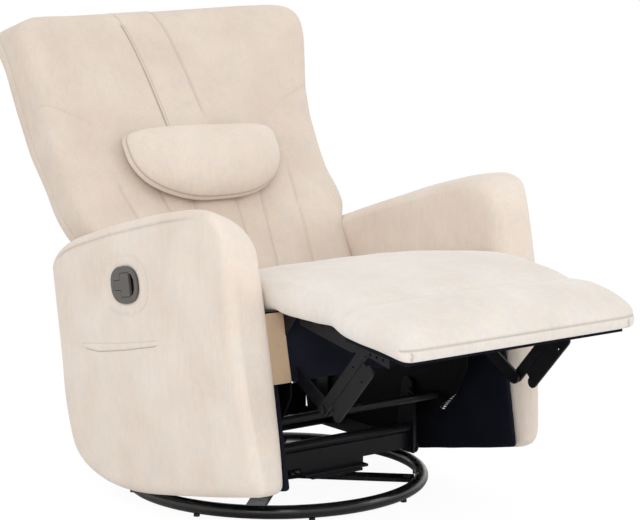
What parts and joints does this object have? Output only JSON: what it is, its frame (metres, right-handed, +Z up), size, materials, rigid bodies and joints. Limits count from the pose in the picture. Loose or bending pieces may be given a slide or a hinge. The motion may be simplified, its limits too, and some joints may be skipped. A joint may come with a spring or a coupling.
{
  "type": "swivel glider recliner",
  "caption": "Upholstered swivel glider recliner with footrest out: padded arms, winged back, lumbar pillow on a strap, black linkage and a round tube base.",
  "frame": {"origin": "middle of the footprint on the floor, with the footrest out as in the picture", "axes": "+Z up from the floor, +Y from the footrest toward the backrest, +X across the chair toward the arm without the release handle"},
  "size_m": [0.7218, 1.2768, 0.903],
  "materials": {
    "cream_fabric": "woven chenille",
    "seat_fabric": "woven chenille",
    "lining_cloth": "matt cloth",
    "black_steel": "satin powder coat",
    "spring_steel": "bright",
    "handle_plastic": "matt",
    "foot_plastic": "matt",
    "frame_timber": "raw"
  },
  "bodies": {
    "base": {"base_ring": "black_steel", "base_cross": "black_steel", "base_foot_1": "foot_plastic", "base_foot_2": "foot_plastic", "base_foot_3": "foot_plastic", "base_foot_4": "foot_plastic", "base_foot_5": "foot_plastic", "base_foot_6": "foot_plastic", "base_foot_7": "foot_plastic", "base_foot_8": "foot_plastic", "swivel_post": "black_steel"},
    "turntable": {"bearing_cap": "black_steel", "turntable_plate": "black_steel", "yoke_front": "black_steel", "yoke_rear": "black_steel"},
    "link_rear_left": {"glide_link_rear_left": "black_steel"},
    "link_rear_right": {"glide_link_rear_right": "black_steel"},
    "link_front_left": {"glide_link_front_left": "black_steel"},
    "link_front_right": {"glide_link_front_right": "black_steel"},
    "carriage": {"carriage_frame": "black_steel"},
    "seat_unit": {"side_plate_left": "black_steel", "side_plate_right": "black_steel", "seat_stretcher": "black_steel", "front_rail": "frame_timber", "front_lining": "lining_cloth", "rail_wrap_left": "cream_fabric", "rail_wrap_right": "cream_fabric", "side_rail_left": "frame_timber", "side_rail_right": "frame_timber", "rear_rail": "frame_timber", "seat_spring_1": "spring_steel", "seat_spring_2": "spring_steel", "seat_spring_3": "spring_steel", "seat_cushion": "seat_fabric", "arm_left": "cream_fabric", "arm_right": "cream_fabric", "arm_lining_left": "lining_cloth", "arm_lining_right": "lining_cloth", "lift_spring": "spring_steel", "hinge_bracket_left": "black_steel", "hinge_bracket_right": "black_steel", "handle_surround": "handle_plastic", "pocket_band": "cream_fabric"},
    "handle": {"handle_paddle": "handle_plastic"},
    "backrest": {"back_cushion": "cream_fabric", "back_shell": "cream_fabric", "back_bracket_left": "black_steel", "back_bracket_right": "black_steel", "pillow_strap": "cream_fabric"},
    "head_pillow": {"pillow": "cream_fabric"},
    "footrest": {"bridge_pad": "seat_fabric", "ottoman_pad": "seat_fabric", "ottoman_board": "lining_cloth", "footrest_bracket_left": "black_steel", "footrest_bracket_right": "black_steel"},
    "rear_links": {"rear_link_left": "black_steel", "rear_link_right": "black_steel", "cross_tube": "black_steel"},
    "toggle_left": {"front_link_left": "black_steel"},
    "toggle_right": {"front_link_right": "black_steel"}
  },
  "joints": [
    {"name": "swivel", "type": "hinge", "parent": "base", "child": "turntable", "pos_m": [0.0019, 0.08563, 0.0503], "axis": [0, 0, 1], "continuous": true},
    {"name": "glide", "type": "hinge", "parent": "turntable", "child": "link_rear_left", "pos_m": [0.0019, 0.26563, 0.1803], "axis": [1, 0, 0], "range_deg": [-18, 18]},
    {"name": "glide_rear_right", "type": "hinge", "parent": "turntable", "child": "link_rear_right", "pos_m": [0.0019, 0.26563, 0.1803], "axis": [1, 0, 0], "range_deg": [-18, 18]},
    {"name": "glide_front_left", "type": "hinge", "parent": "turntable", "child": "link_front_left", "pos_m": [0.0019, -0.09437, 0.1803], "axis": [1, 0, 0], "range_deg": [-18, 18]},
    {"name": "glide_front_right", "type": "hinge", "parent": "turntable", "child": "link_front_right", "pos_m": [0.0019, -0.09437, 0.1803], "axis": [1, 0, 0], "range_deg": [-18, 18]},
    {"name": "glide_level", "type": "hinge", "parent": "link_rear_left", "child": "carriage", "pos_m": [0.0019, 0.26563, 0.0803], "axis": [1, 0, 0], "range_deg": [-18, 18]},
    {"name": "body_pitch", "type": "hinge", "parent": "carriage", "child": "seat_unit", "pos_m": [0.0019, -0.07437, 0.2003], "axis": [1, 0, 0], "range_deg": [0, 10.5]},
    {"name": "footrest_fold", "type": "hinge", "parent": "seat_unit", "child": "footrest", "pos_m": [0.0019, -0.31433, 0.44533], "axis": [1, 0, 0], "range_deg": [0, 74]},
    {"name": "rear_link_swing", "type": "hinge", "parent": "seat_unit", "child": "rear_links", "pos_m": [0.0019, -0.19423, 0.36022], "axis": [1, 0, 0], "range_deg": [0, 68.2]},
    {"name": "toggle_left_swing", "type": "hinge", "parent": "rear_links", "child": "toggle_left", "pos_m": [0.0019, -0.36946, 0.26425], "axis": [1, 0, 0], "range_deg": [-58.3, 0]},
    {"name": "toggle_right_swing", "type": "hinge", "parent": "rear_links", "child": "toggle_right", "pos_m": [0.0019, -0.36946, 0.26425], "axis": [1, 0, 0], "range_deg": [-58.3, 0]},
    {"name": "recline", "type": "hinge", "parent": "seat_unit", "child": "backrest", "pos_m": [0.0019, 0.22281, 0.26726], "axis": [-1, 0, 0], "range_deg": [0, 30]},
    {"name": "pillow_slide", "type": "slide", "parent": "backrest", "child": "head_pillow", "axis": [0, 0.5664, 0.8241], "range_m": [-0.07, 0.02]},
    {"name": "release", "type": "hinge", "parent": "seat_unit", "child": "handle", "pos_m": [-0.3584, 0.091, 0.43408], "axis": [0, -0.1822, -0.9833], "range_deg": [0, 35], "stiffness_Nm_per_rad": 0.3}
  ],
  "couplings": [
    {"joint": "glide_rear_right", "follows": "glide", "ratio": 1},
    {"joint": "glide_front_left", "follows": "glide", "ratio": 1},
    {"joint": "glide_front_right", "follows": "glide", "ratio": 1},
    {"joint": "glide_level", "follows": "glide", "ratio": -1},
    {"joint": "body_pitch", "follows": "footrest_fold", "ratio": 0.1418},
    {"joint": "rear_link_swing", "follows": "footrest_fold", "ratio": 0.921},
    {"joint": "toggle_left_swing", "follows": "footrest_fold", "ratio": -0.787},
    {"joint": "toggle_right_swing", "follows": "footrest_fold", "ratio": -0.787}
  ]
}
